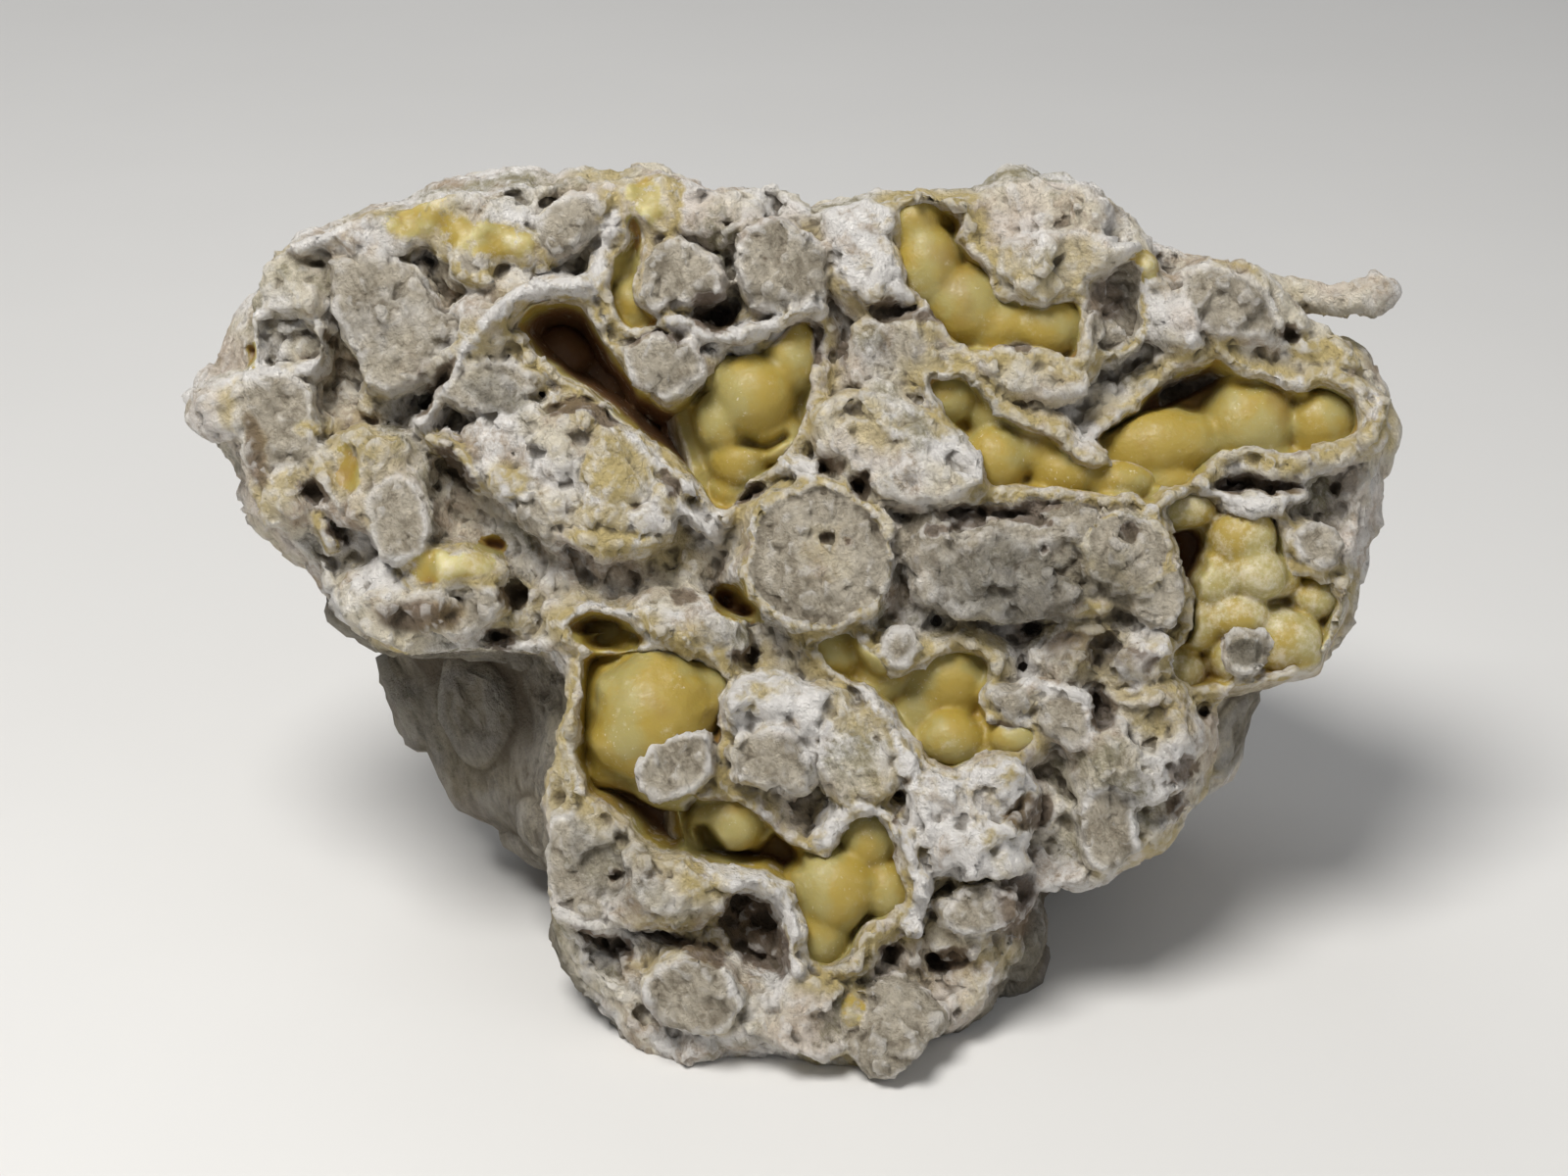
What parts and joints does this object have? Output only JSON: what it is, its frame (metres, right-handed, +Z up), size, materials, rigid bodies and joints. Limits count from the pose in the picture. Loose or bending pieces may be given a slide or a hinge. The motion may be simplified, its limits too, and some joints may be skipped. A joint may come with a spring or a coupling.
{
  "type": "aragonite cluster",
  "caption": "Hand-sized mineral specimen: a chalky, knobbly mass of broken concretions whose hollows are lined with honey-coloured aragonite, resting on its flat broken base.",
  "frame": {"origin": "under the middle of the whole specimen, on the surface it rests on", "axes": "+X to the right along the broken face, +Y away from the viewer of that face, +Z up"},
  "size_m": [0.1055, 0.0704, 0.069],
  "materials": {
    "chalky_matrix": "chalky, powdery and granular, dull",
    "honey_aragonite": "smooth waxy sheen with a velvety grain"
  },
  "bodies": {
    "root": {"matrix": "chalky_matrix", "channel_crust": "honey_aragonite", "cave_crust": "honey_aragonite", "cluster_crust": "honey_aragonite", "top_crust": "honey_aragonite", "right_crust": "honey_aragonite", "corner_crust": "honey_aragonite", "middle_crust": "honey_aragonite", "centre_crust": "honey_aragonite", "lower_left_crust": "honey_aragonite", "lower_crust": "honey_aragonite"}
  },
  "joints": []
}
